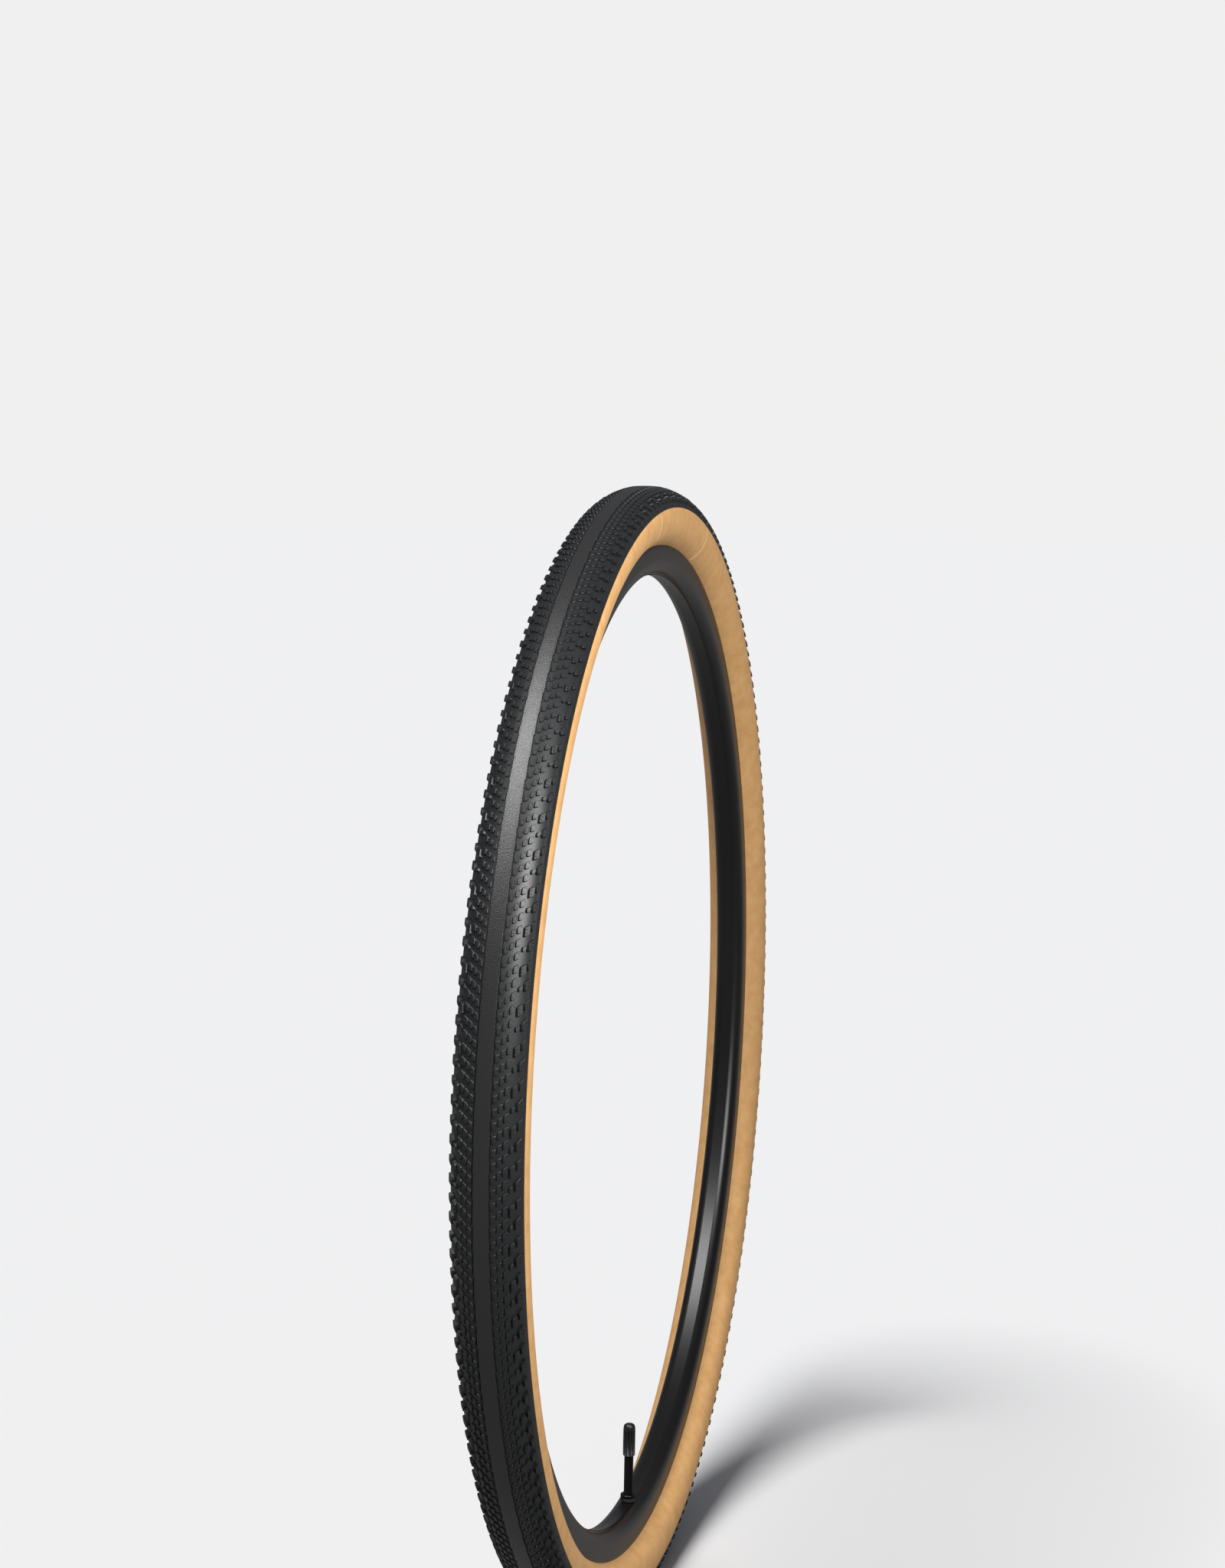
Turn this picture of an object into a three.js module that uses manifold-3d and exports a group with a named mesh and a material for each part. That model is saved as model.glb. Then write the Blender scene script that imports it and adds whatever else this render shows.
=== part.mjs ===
// A 700 x 42C gravel tyre, mounted tubeless and inflated on a narrow black box-section rim.
// Lengths are in millimetres. The wheel spins about +Y and +Z is up, with the origin at the
// wheel's centre. The Presta valve stands at the bottom of the rim and points up at the hub.
import * as THREE from "three";
import { mergeVertices } from "three/addons/utils/BufferGeometryUtils.js";
import Module from "manifold-3d";

// Driving dimensions of the wheel
const CROWN_RADIUS = 356.7; // top of the centre strip, 352.8 once the section is flattened
const BEAD_SEAT_RADIUS = 311; // the 622 mm seat that every 700C tyre fits
const CASING_CENTRE = 334.75; // wheel axis to the middle of the inflated section
const CASING_RADIUS = 20.35; // outside of the casing plies, about the section's middle
const SKIN_RADIUS = 20.8; // outside of the tan sidewall, about the section's middle
const FLATTENING = 0.8223; // height of the section's outer half over that of a round one

// Tread
const TREAD_CENTRE = 336.45; // wheel axis to the middle of the tread's flatter arc
const INNER_KNOB_RADIUS = 20.6; // tips of the low knobs beside the strip, about the tread's middle
const OUTER_KNOB_RADIUS = 21.25; // tips of the tall edge knobs
const KNOB_ANGLES = [15, 27, 39, 51, 62]; // tread angles that the knobs cover
const EDGE_ANGLES = [68, 76.6]; // tread angles of the smooth edge band
const TREAD_EDGE_RADIUS = 20.23; // smooth edge band beside the sidewall
const STRIP_HALF_WIDTH = 4.25;
const CROWN_FLAT = 2; // half width of the flat on top of the strip
const STRIP_SIDE_RADIUS = 356.25;
const TREAD_EDGE_ANGLE = 72.6; // section angle where black tread meets tan sidewall

// Layers
const LAYER_GAP = 0.1; // bond line between two layers
const PLY = 0.4;
const LINER = 0.5;
const BREAKER_ANGLE = 45; // the breaker covers the section this far either side
const SECTION_STEP = 26; // degrees between the bends that all layers share
const SKIN_END_ANGLE = 156; // section angle where the sidewall meets the rim flange

// Beads
const BEAD_WALL = 8.3; // outer face of the bead, beside the rim flange
const BEAD_TOE = 3.35; // inner edge of the bead
const CHAFER = 0.45;
const CHAFER_TOP = 315.45;
const CORE_RADIUS = 1.4;

// Rim
const FLANGE_WALL = 8.4; // inner face of the flange
const RIM_HALF_WIDTH = 9.95;
const FLANGE_INNER_RADIUS = 315.6;
const FLANGE_TIP_RADIUS = 316.3;
const RIM_SEAT_RADIUS = 310.5;
const CHANNEL_RADIUS = 307.4;
const CHANNEL_HALF_WIDTH = 4.6;
const SHELF_START = 5.6;
const RIM_SHOULDER_RADIUS = 308; // the side wall is flat outside this
const RIM_INNER_RADIUS = 297.8;
const NUT_SEAT_HALF_WIDTH = 3.6;
const RIM_WALL = 1.5;
const TAPE = 0.3;

// Valve, all turned about the Z axis at the bottom of the rim
const VALVE_HOLE_RADIUS = 3.25;
const STEM_RADIUS = 3;
const STEM_TOP = -262;
const CAP_TOP = -246.5;

// Finish of the rings and of the turned pieces
const WHEEL_FACETS = 32; // a facet is centred on each of +X, -X, +Z and -Z
const TURNED_FACETS = 20;
const RING_STRETCH = 1 / Math.cos(Math.PI / WHEEL_FACETS); // puts the facets' middles on size

const wasm = await Module();
wasm.setup();

const radians = THREE.MathUtils.degToRad;
const tyreOnRim = new THREE.Group();

const rubber = (color, roughness) => new THREE.MeshStandardMaterial({ color, roughness, metalness: 0 });
const metal = (color, roughness) => new THREE.MeshStandardMaterial({ color, roughness, metalness: 0.9 });

function place(name, geometry, material) {
  const mesh = new THREE.Mesh(geometry, material);
  mesh.name = name;
  tyreOnRim.add(mesh);
}

// --- Making rings and turned pieces ---

// The tread is stiffer than the sidewalls, so the inflated section is round from its widest
// line to the rim and flatter above it. Outlines are drawn round and flattened here.
function flattened(radius) {
  return Math.min(radius, CASING_CENTRE + FLATTENING * (radius - CASING_CENTRE));
}

// Revolves a closed outline of [radius, width] points about the wheel's axis.
function ringGeometry(outline) {
  const points = outline.map(
    ([radius, width]) => new THREE.Vector2(flattened(radius) * RING_STRETCH, width),
  );
  if (THREE.ShapeUtils.area(points) < 0) points.reverse();
  points.push(points[0].clone());
  return new THREE.LatheGeometry(points, WHEEL_FACETS, -Math.PI / WHEEL_FACETS, 2 * Math.PI);
}

// Revolves a closed outline of [radius, height] points about the valve's axis.
function turnedGeometry(outline, facets = TURNED_FACETS) {
  const points = outline.map(([radius, height]) => new THREE.Vector2(radius, height));
  if (THREE.ShapeUtils.area(points) < 0) points.reverse();
  points.push(points[0].clone());
  const geometry = new THREE.LatheGeometry(points, facets, Math.PI / facets, 2 * Math.PI);
  return geometry.rotateX(Math.PI / 2);
}

function solidOf(geometry) {
  const bare = geometry.clone();
  bare.deleteAttribute("normal");
  bare.deleteAttribute("uv");
  const merged = mergeVertices(bare, 1e-4);
  const mesh = new wasm.Mesh({
    numProp: 3,
    vertProperties: merged.getAttribute("position").array,
    triVerts: new Uint32Array(merged.index.array),
  });
  return new wasm.Manifold(mesh);
}

function geometryOf(solid) {
  const mesh = solid.getMesh();
  const geometry = new THREE.BufferGeometry();
  geometry.setAttribute("position", new THREE.BufferAttribute(mesh.vertProperties, 3));
  geometry.setIndex(new THREE.BufferAttribute(mesh.triVerts, 1));
  return geometry;
}

// A ring across the valve's axis with the same outline on both halves.
function mirrored(half) {
  const other = half.map(([radius, width]) => [radius, -width]).reverse();
  return [...half, ...other];
}

// --- Sections of the casing ---

// A point of a layer that bends only at multiples of SECTION_STEP. The angle runs from the
// crown and is positive towards +Y.
function layerPoint(radius, angle) {
  const middle = (Math.floor(angle / SECTION_STEP) + 0.5) * SECTION_STEP;
  const reach = (radius * Math.cos(radians(SECTION_STEP / 2))) / Math.cos(radians(angle - middle));
  return [CASING_CENTRE + reach * Math.cos(radians(angle)), reach * Math.sin(radians(angle))];
}

function layerArc(radius, from, to) {
  const angles = [from];
  for (let bend = Math.ceil(from / SECTION_STEP) * SECTION_STEP; bend < to; bend += SECTION_STEP) {
    if (bend > from) angles.push(bend);
  }
  angles.push(to);
  return angles.map((angle) => layerPoint(radius, angle));
}

// The point at a given width on the flat stretch that follows one of a layer's bends.
function layerAtWidth(radius, width, bend) {
  const middle = radians(bend + SECTION_STEP / 2);
  const flat = radius * Math.cos(radians(SECTION_STEP / 2));
  return [CASING_CENTRE + (flat - width * Math.sin(middle)) / Math.cos(middle), width];
}

// A sheet that runs over the crown from bead to bead, and down a straight leg at each bead.
function beadToBead(outerRadius, thickness, legWidth, legFoot) {
  const side = (radius, width) => [
    ...layerArc(radius, 0, SKIN_END_ANGLE),
    layerAtWidth(radius, width, SKIN_END_ANGLE),
    [legFoot, width],
  ];
  const outer = side(outerRadius, legWidth);
  const inner = side(outerRadius - thickness, legWidth - thickness).reverse();
  const across = (points) => points.slice().reverse().map(([radius, width]) => [radius, -width]);
  return [...outer, ...inner.slice(0, -1), ...across(inner), ...across(outer).slice(0, -1)];
}

// A short sheet between two section angles.
function sheet(outerRadius, thickness, from, to) {
  return [...layerArc(outerRadius, from, to), ...layerArc(outerRadius - thickness, from, to).reverse()];
}

function mirror(outline, side) {
  return outline.map(([radius, width]) => [radius, side * width]);
}

// --- Casing: two bias plies, an airtight liner inside and a puncture breaker outside ---

const legFoot = BEAD_SEAT_RADIUS + CHAFER + LAYER_GAP;
const outerPlyLeg = BEAD_WALL - CHAFER - LAYER_GAP;
const innerPlyLeg = BEAD_TOE + LINER + PLY;
const innerPlyRadius = CASING_RADIUS - PLY - LAYER_GAP;
const linerRadius = innerPlyRadius - PLY - LAYER_GAP;
const breakerRadius = CASING_RADIUS + LAYER_GAP + PLY;

place(
  "casing_ply_outer",
  ringGeometry(beadToBead(CASING_RADIUS, PLY, outerPlyLeg, legFoot)),
  rubber(0x8a6a44, 0.9),
);
place(
  "casing_ply_inner",
  ringGeometry(beadToBead(innerPlyRadius, PLY, innerPlyLeg, legFoot)),
  rubber(0x86683f, 0.9),
);
place(
  "inner_liner",
  ringGeometry(beadToBead(linerRadius, LINER, innerPlyLeg - PLY - LAYER_GAP, legFoot)),
  rubber(0x1b1b1c, 0.6),
);
place(
  "puncture_breaker",
  ringGeometry(sheet(breakerRadius, PLY, -BREAKER_ANGLE, BREAKER_ANGLE)),
  rubber(0xc9a648, 0.9),
);

// --- Tread: a smooth centre strip between two knobbed shoulders ---

// The shoulders are the envelope of the knob tips, which grow taller towards the tyre's edge.
// Past the last knobs they thin out to the smooth edge band.
const treadFloor = breakerRadius + LAYER_GAP;
const shoulderStart = THREE.MathUtils.radToDeg(Math.asin((STRIP_HALF_WIDTH + 0.3) / treadFloor));
const breakerEdge = BREAKER_ANGLE + 2;

function treadPoint(radius, angle) {
  const turn = radians(angle);
  return [TREAD_CENTRE + radius * Math.cos(turn), radius * Math.sin(turn)];
}

function stripOutline() {
  const body = mirrored([
    layerAtWidth(treadFloor, STRIP_HALF_WIDTH, 0),
    [STRIP_SIDE_RADIUS, STRIP_HALF_WIDTH],
    [CROWN_RADIUS, CROWN_FLAT],
  ]);
  return [...body, layerPoint(treadFloor, 0)];
}

function shoulderOutline(side) {
  const growth = (OUTER_KNOB_RADIUS - INNER_KNOB_RADIUS) / (KNOB_ANGLES.length - 1);
  const knobbed = KNOB_ANGLES.map((angle, i) => treadPoint(INNER_KNOB_RADIUS + i * growth, angle));
  const edge = EDGE_ANGLES.map((angle) => treadPoint(TREAD_EDGE_RADIUS, angle));
  const overBreaker = layerArc(treadFloor, shoulderStart, breakerEdge);
  const overCasing = layerArc(CASING_RADIUS + LAYER_GAP, breakerEdge, TREAD_EDGE_ANGLE);
  const outline = [...knobbed, ...edge, ...overCasing.reverse(), ...overBreaker.reverse()];
  return mirror(outline, side);
}

place("tread_centre_strip", ringGeometry(stripOutline()), rubber(0x4b4b4b, 0.85));
for (const [side, end] of [["left", 1], ["right", -1]]) {
  place("tread_shoulder_" + side, ringGeometry(shoulderOutline(end)), rubber(0x2b2c2d, 0.8));
}

// --- Tan sidewalls, from the tread's edge to the rim ---

function sidewallOutline(side) {
  const start = TREAD_EDGE_ANGLE + 0.5;
  const outer = [start, 80, 90, 105, 122, 139, SKIN_END_ANGLE].map((angle) => {
    const turn = radians(angle);
    return [CASING_CENTRE + SKIN_RADIUS * Math.cos(turn), SKIN_RADIUS * Math.sin(turn)];
  });
  const inner = layerArc(CASING_RADIUS + LAYER_GAP, start, SKIN_END_ANGLE).reverse();
  return mirror([...outer, ...inner], side);
}

for (const [side, end] of [["left", 1], ["right", -1]]) {
  place("sidewall_" + side, ringGeometry(sidewallOutline(end)), rubber(0xe0b070, 0.75));
}

// --- Beads: an aramid core between the plies, a filler above it and a chafer round it ---

const coreTop = legFoot + LAYER_GAP + 2 * CORE_RADIUS;

function coreOutline(side) {
  const middle = (innerPlyLeg + outerPlyLeg - PLY) / 2;
  const centre = coreTop - CORE_RADIUS;
  const corners = [0, 60, 120, 180, 240, 300].map((angle) => {
    const turn = radians(angle);
    return [centre + CORE_RADIUS * Math.cos(turn), middle + CORE_RADIUS * Math.sin(turn)];
  });
  return mirror(corners, side);
}

function fillerOutline(side) {
  const inside = innerPlyLeg + LAYER_GAP;
  const outside = outerPlyLeg - PLY - LAYER_GAP;
  const foot = coreTop + LAYER_GAP;
  const roof = (width) => layerAtWidth(innerPlyRadius, width, SKIN_END_ANGLE)[0] - 2 * LAYER_GAP;
  const corners = [[foot, inside], [roof(inside), inside], [roof(outside), outside], [foot, outside]];
  return mirror(corners, side);
}

function chaferOutline(side) {
  const inner = BEAD_WALL - CHAFER;
  const floor = BEAD_SEAT_RADIUS + CHAFER;
  const corners = [
    [CHAFER_TOP, BEAD_WALL],
    [CHAFER_TOP, inner],
    [floor, inner],
    [floor, BEAD_TOE],
    [BEAD_SEAT_RADIUS, BEAD_TOE],
    [BEAD_SEAT_RADIUS, BEAD_WALL],
  ];
  return mirror(corners, side);
}

for (const [side, end] of [["left", 1], ["right", -1]]) {
  place("bead_core_" + side, ringGeometry(coreOutline(end)), rubber(0xd8b24a, 0.8));
  place("bead_filler_" + side, ringGeometry(fillerOutline(end)), rubber(0x232324, 0.8));
  place("chafer_" + side, ringGeometry(chaferOutline(end)), rubber(0x303030, 0.9));
}

// --- Rim: a hollow black hoop, and the tape that seals its bed ---

// The hoop's inner side is a rounded U, a superellipse between a flat side and a flat bottom.
function roundedSide(halfWidth, depth, steps) {
  const points = [];
  for (let step = 0; step < steps; step += 1) {
    const turn = (Math.PI / 2) * (step / steps);
    const squareness = 2 / 2.6;
    points.push([
      RIM_SHOULDER_RADIUS - depth * Math.sin(turn) ** squareness,
      halfWidth * Math.cos(turn) ** squareness,
    ]);
  }
  return points;
}

function rimOutline() {
  return mirrored([
    [CHANNEL_RADIUS, CHANNEL_HALF_WIDTH],
    [RIM_SEAT_RADIUS, SHELF_START],
    [RIM_SEAT_RADIUS, FLANGE_WALL],
    [FLANGE_INNER_RADIUS, FLANGE_WALL],
    [FLANGE_TIP_RADIUS, RIM_HALF_WIDTH - 0.25],
    [FLANGE_TIP_RADIUS - 0.4, RIM_HALF_WIDTH],
    ...roundedSide(RIM_HALF_WIDTH, RIM_SHOULDER_RADIUS - RIM_INNER_RADIUS, 4),
    [RIM_INNER_RADIUS, NUT_SEAT_HALF_WIDTH],
  ]);
}

function rimCavityOutline() {
  const depth = RIM_SHOULDER_RADIUS - RIM_INNER_RADIUS - RIM_WALL;
  return mirrored([
    [CHANNEL_RADIUS - RIM_WALL, CHANNEL_HALF_WIDTH + 0.7],
    [RIM_SEAT_RADIUS - RIM_WALL, SHELF_START + 0.6],
    ...roundedSide(RIM_HALF_WIDTH - RIM_WALL, depth, 4),
    [RIM_INNER_RADIUS + RIM_WALL, 0.8 * NUT_SEAT_HALF_WIDTH],
  ]);
}

function tapeOutline() {
  const under = (radius) => radius + LAYER_GAP;
  const over = (radius) => radius + LAYER_GAP + TAPE;
  const edge = FLANGE_WALL - 2 * LAYER_GAP;
  return mirrored([
    [under(CHANNEL_RADIUS), CHANNEL_HALF_WIDTH - LAYER_GAP],
    [under(RIM_SEAT_RADIUS), SHELF_START - LAYER_GAP],
    [under(RIM_SEAT_RADIUS), edge],
    [over(RIM_SEAT_RADIUS), edge],
    [over(RIM_SEAT_RADIUS), SHELF_START - TAPE - LAYER_GAP],
    [over(CHANNEL_RADIUS), CHANNEL_HALF_WIDTH - TAPE - LAYER_GAP],
  ]);
}

const valveHole = solidOf(
  turnedGeometry([[0, -320], [VALVE_HOLE_RADIUS, -320], [VALVE_HOLE_RADIUS, -290], [0, -290]]),
);
const rimSolid = solidOf(ringGeometry(rimOutline()))
  .subtract(solidOf(ringGeometry(rimCavityOutline())))
  .subtract(valveHole);
const tapeSolid = solidOf(ringGeometry(tapeOutline())).subtract(valveHole);
place("rim_hoop", geometryOf(rimSolid), metal(0x141516, 0.4));
place("rim_tape", geometryOf(tapeSolid), rubber(0xd9c84a, 0.5));

// --- Presta valve ---

// Heights up the valve, from the grommet's bed in the rim's channel
const grommetBed = -(CHANNEL_RADIUS + LAYER_GAP + TAPE + LAYER_GAP);
const grommetTop = grommetBed - 1.7;
const footTop = grommetTop - 0.1;
const footBottom = footTop - 0.8;
const coreSeat = -276;
const nutSeat = -(RIM_INNER_RADIUS - 0.1);
const neckTop = -256;

place(
  "valve_grommet",
  turnedGeometry([[3.1, grommetTop], [4.2, grommetTop], [4.2, grommetBed], [3.1, grommetBed]]),
  rubber(0x202021, 0.8),
);
place(
  "valve_stem",
  turnedGeometry([
    [1.3, footBottom],
    [3.9, footBottom],
    [3.9, footTop],
    [STEM_RADIUS, footTop],
    [STEM_RADIUS, STEM_TOP],
    [2.2, STEM_TOP],
    [2.2, coreSeat],
    [1.3, coreSeat],
  ]),
  metal(0x1d1d1e, 0.35),
);
place(
  "valve_o_ring",
  turnedGeometry([
    [3.15, nutSeat],
    [4.3, nutSeat],
    [4.6, nutSeat + 0.5],
    [4.6, nutSeat + 0.9],
    [4.3, nutSeat + 1.4],
    [3.15, nutSeat + 1.4],
  ]),
  rubber(0x161616, 0.6),
);
place(
  "valve_lock_nut",
  turnedGeometry([
    [3.1, nutSeat + 1.5],
    [4.6, nutSeat + 1.5],
    [5, nutSeat + 1.9],
    [5, nutSeat + 4.6],
    [4.6, nutSeat + 5],
    [3.1, nutSeat + 5],
  ]),
  metal(0x1d1d1e, 0.4),
);
place(
  "valve_core_body",
  turnedGeometry([
    [1.05, coreSeat + 0.1],
    [2.1, coreSeat + 0.1],
    [2.1, STEM_TOP + 0.1],
    [2.6, STEM_TOP + 0.1],
    [2.6, STEM_TOP + 3],
    [1.9, STEM_TOP + 3.4],
    [1.9, neckTop],
    [1.05, neckTop],
  ]),
  metal(0xb59a55, 0.3),
);
place(
  "valve_core_pin",
  turnedGeometry(
    [
      [0, coreSeat - 2.5],
      [1.15, coreSeat - 2.5],
      [1.15, coreSeat - 0.4],
      [0.85, coreSeat],
      [0.85, neckTop + 6.6],
      [0, neckTop + 6.6],
    ],
    12,
  ),
  metal(0xb59a55, 0.3),
);
place(
  "valve_tip_nut",
  turnedGeometry([
    [0.95, neckTop + 0.1],
    [1.7, neckTop + 0.1],
    [2.1, neckTop + 0.5],
    [2.1, neckTop + 2.6],
    [1.7, neckTop + 3],
    [0.95, neckTop + 3],
  ]),
  metal(0xb59a55, 0.35),
);
place(
  "valve_cap",
  turnedGeometry([
    [3.15, STEM_TOP - 5],
    [3.9, STEM_TOP - 5],
    [3.9, CAP_TOP - 1],
    [3.1, CAP_TOP],
    [0, CAP_TOP],
    [0, CAP_TOP - 1.2],
    [3.15, CAP_TOP - 1.2],
  ]),
  rubber(0x151515, 0.4),
);

export default tyreOnRim;
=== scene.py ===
from math import asin, cos, degrees, pi, radians, sin, sqrt

import bmesh
import bpy
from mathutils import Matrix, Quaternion, Vector


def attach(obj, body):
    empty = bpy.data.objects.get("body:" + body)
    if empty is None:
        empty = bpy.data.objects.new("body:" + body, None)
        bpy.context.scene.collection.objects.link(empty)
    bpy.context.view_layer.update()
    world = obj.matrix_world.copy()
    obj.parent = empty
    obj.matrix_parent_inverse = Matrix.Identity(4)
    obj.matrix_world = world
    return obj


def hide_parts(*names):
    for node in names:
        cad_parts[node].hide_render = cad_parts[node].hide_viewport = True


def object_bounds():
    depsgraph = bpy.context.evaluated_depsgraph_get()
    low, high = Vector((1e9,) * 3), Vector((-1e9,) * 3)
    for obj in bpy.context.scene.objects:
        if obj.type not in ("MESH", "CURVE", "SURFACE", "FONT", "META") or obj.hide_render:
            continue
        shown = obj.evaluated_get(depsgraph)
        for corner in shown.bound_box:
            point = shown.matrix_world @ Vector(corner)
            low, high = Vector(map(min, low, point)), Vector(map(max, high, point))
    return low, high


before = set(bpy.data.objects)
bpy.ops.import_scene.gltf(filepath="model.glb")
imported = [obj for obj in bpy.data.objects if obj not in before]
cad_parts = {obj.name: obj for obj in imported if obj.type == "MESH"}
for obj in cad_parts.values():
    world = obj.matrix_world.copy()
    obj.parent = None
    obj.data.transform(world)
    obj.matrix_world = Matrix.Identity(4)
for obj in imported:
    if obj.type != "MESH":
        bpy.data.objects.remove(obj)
cad_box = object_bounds()


# --- Camera ---
# It stands about level with the top of the wheel, a little to the tyre's right, and looks
# along the wheel at its near edge, so that the tread runs up past it and the far sidewall
# shows through the ring.

bpy.ops.object.camera_add(location=(-1.69825, -0.38760, 0.34416))
camera = bpy.context.object
aim = Vector((0.01213, 0.02154, 0.16468)) - camera.location
tilt = Quaternion((0, 0, 1), radians(1.007))
camera.rotation_euler = (aim.to_track_quat("-Z", "Y") @ tilt).to_euler()
camera.data.lens = 64.07
bpy.context.scene.camera = camera


# --- Inner liner ---
# A thin sheet of butyl rubber that lines the casing and keeps the air in a tubeless tyre. It
# is calendered, and laid on the building drum before everything else.

MM = 0.001
AROUND = 318            # flats round the wheel
CASING_CENTRE = 334.75  # radius of the line that the tyre's section is drawn round
BEAD_FOOT = 311.55
FLATTENING = 0.8223     # the section is round up to its widest line and flatter above it


def draw(places):
    """Starts a mesh, and leaves it in edit mode, as a closed line through places in mm."""
    bpy.ops.object.select_all(action="DESELECT")
    bpy.ops.mesh.primitive_plane_add(size=MM, enter_editmode=True)
    bpy.ops.mesh.merge(type="CENTER")
    places = [Vector(place) * MM for place in places]
    bpy.ops.transform.translate(value=places[0])
    for here, there in zip(places, places[1:]):
        bpy.ops.mesh.extrude_vertices_move(TRANSFORM_OT_translate={"value": there - here})
    ends = (places[0], places[-1])
    pick(lambda place: min((place - end).length for end in ends) < 1e-6)
    bpy.ops.mesh.edge_face_add()
    bpy.ops.mesh.select_all(action="SELECT")


def pick(test):
    """Selects only the vertices whose place passes the test, and what lies between them."""
    bpy.ops.mesh.select_all(action="DESELECT")
    mesh = bmesh.from_edit_mesh(bpy.context.edit_object.data)
    for vertex in mesh.verts:
        vertex.select_set(test(vertex.co))
    mesh.select_flush_mode()


def close(name, smooth=35):
    """Merges what meets, turns the faces outwards, and leaves edit mode."""
    bpy.ops.mesh.select_all(action="SELECT")
    bpy.ops.mesh.remove_doubles(threshold=0.01 * MM)
    bpy.ops.mesh.normals_make_consistent(inside=False)
    bpy.ops.object.mode_set(mode="OBJECT")
    bpy.ops.object.shade_smooth_by_angle(angle=radians(smooth))
    bpy.context.object.name = name
    return bpy.context.object


def section(outline):
    """Places for a section drawn round, as (width, radius) in mm, with its crown flattened."""
    above = [(width, radius - CASING_CENTRE) for width, radius in outline]
    return [(0, y, CASING_CENTRE + min(h, FLATTENING * h)) for y, h in above]


def ring(name, outline, around=AROUND, smooth=35):
    """A ring round the wheel's axle, from its section."""
    draw(section(outline))
    bpy.ops.mesh.spin(steps=around, angle=2 * pi, center=(0, 0, 0), axis=(0, -1, 0))
    return close(name, smooth)


def arc(radius, start, stop, step=6, centre=CASING_CENTRE):
    """Section points on a circle, by angle in degrees from the crown."""
    count = max(1, round(abs(stop - start) / step))
    angles = [radians(start + (stop - start) * i / count) for i in range(count + 1)]
    return [(radius * sin(angle), centre + radius * cos(angle)) for angle in angles]


def bead_to_bead(radius, thickness, leg):
    """The section of a sheet that runs over the crown and down a straight leg at each bead."""
    inside, inner_leg = radius - thickness, leg - thickness
    outer_end = 180 - degrees(asin(leg / radius))
    inner_end = 180 - degrees(asin(inner_leg / inside))
    return [
        (-leg, BEAD_FOOT), *arc(radius, -outer_end, outer_end),
        (leg, BEAD_FOOT), (inner_leg, BEAD_FOOT),
        *arc(inside, inner_end, -inner_end), (-inner_leg, BEAD_FOOT),
    ]


def srgb(code):
    """A colour's sRGB hex code, as the linear values that a shader takes."""
    shares = [int(code[i:i + 2], 16) / 255 for i in (1, 3, 5)]
    bright = [s / 12.92 if s <= 0.04045 else ((s + 0.055) / 1.055) ** 2.4 for s in shares]
    return (*bright, 1.0)


def new_material(name, colour, roughness, **more):
    """A material, and its shader with the finish that is the same all over."""
    made = bpy.data.materials.new(name)
    made.use_nodes = True
    shader = made.node_tree.nodes["Principled BSDF"]
    shader.inputs["Base Color"].default_value = srgb(colour)
    shader.inputs["Roughness"].default_value = roughness
    for socket, value in more.items():
        shader.inputs[socket.replace("_", " ")].default_value = value
    return made, shader


def add(material, kind, sockets, **settings):
    """Adds a node. Each of its sockets takes a value, or another node's output."""
    node = material.node_tree.nodes.new("ShaderNode" + kind)
    for setting, value in settings.items():
        setattr(node, setting, value)
    for socket, value in sockets.items():
        if isinstance(value, bpy.types.NodeSocket):
            material.node_tree.links.new(value, node.inputs[socket])
        else:
            node.inputs[socket].default_value = value
    return node


def grain(material, shader, size, depth, rough=0.6):
    """Fine bumps of a size and depth in mm, from noise on the object's own coordinates."""
    place = add(material, "TexCoord", {}).outputs["Object"]
    noise = add(material, "TexNoise", {
        "Vector": place, "Scale": 1 / (size * MM), "Detail": 2.0, "Roughness": rough,
    })
    bump = add(material, "Bump", {
        "Height": noise.outputs["Fac"], "Strength": 1.0, "Distance": depth * MM,
    })
    material.node_tree.links.new(bump.outputs["Normal"], shader.inputs["Normal"])


# Calendered butyl is a dull grey black with the faint print of its rollers.
butyl, butyl_shader = new_material("calendered_butyl_rubber", "#1b1b1c", 0.55)
grain(butyl, butyl_shader, 1.5, 0.03)

liner = ring("liner", bead_to_bead(19.35, 0.5, 3.75), smooth=60)
liner.data.materials.append(butyl)
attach(liner, "wheel")
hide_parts("inner_liner")


# --- Casing plies ---
# Two sheets of fine nylon cord skimmed with rubber, cut on the bias so that their cords cross.
# The inner one goes over the liner, and the outer one wraps the beads and their fillers.

CASING_RADIUS = 20.0    # of the section's circle, where the spacing of its cords is taken


def round_the_wheel(material):
    """Angle round the wheel and angle round the tyre's section, in radians."""
    place = add(material, "TexCoord", {}).outputs["Object"]
    split = add(material, "SeparateXYZ", {"Vector": place})
    x, y, z = split.outputs
    turn = add(material, "Math", {0: x, 1: z}, operation="ARCTAN2").outputs[0]
    flat = add(material, "CombineXYZ", {"X": x, "Y": z})
    reach = add(material, "VectorMath", {0: flat.outputs[0]}, operation="LENGTH")
    above = add(
        material, "Math", {0: reach.outputs["Value"], 1: CASING_CENTRE * MM},
        operation="SUBTRACT",
    )
    bend = add(material, "Math", {0: y, 1: above.outputs[0]}, operation="ARCTAN2")
    return turn, bend.outputs[0]


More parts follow.
